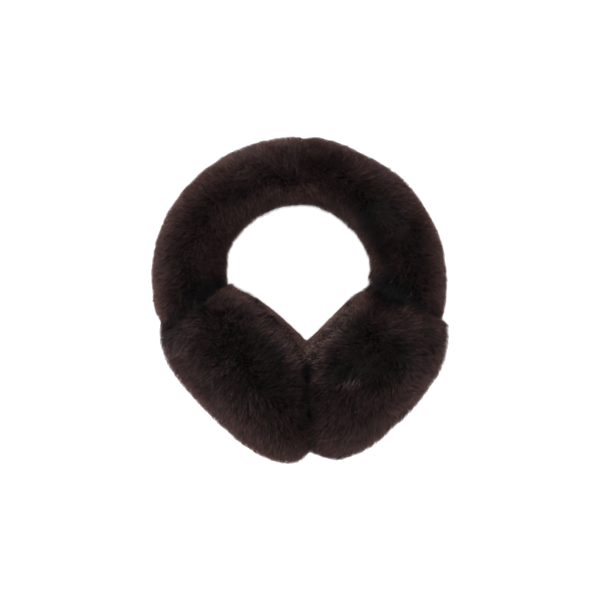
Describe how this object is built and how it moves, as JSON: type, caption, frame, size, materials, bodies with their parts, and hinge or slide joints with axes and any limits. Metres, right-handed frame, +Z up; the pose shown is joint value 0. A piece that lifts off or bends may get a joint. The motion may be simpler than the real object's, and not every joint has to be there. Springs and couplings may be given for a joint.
{
  "type": "fur earmuffs",
  "caption": "Plush fur earmuffs lying on their back: a thick fur-covered spring headband with a round padded fur cup, faced with short plush, at either end.",
  "frame": {"origin": "on the surface that the earmuffs lie on, below the middle of their bounding box", "axes": "+Z up from that surface, +Y from the cups towards the crown of the headband, +X to the right as seen from above with the crown at the top; left and right in names are as in that view"},
  "size_m": [0.187, 0.2018, 0.1142],
  "materials": {
    "fur": "dense dark brown fur pile",
    "plush": "short dark brown plush"
  },
  "bodies": {
    "root": {"headband_fur": "fur", "left_cup_fur": "fur", "right_cup_fur": "fur", "left_ear_pad": "plush", "right_ear_pad": "plush"}
  },
  "joints": []
}
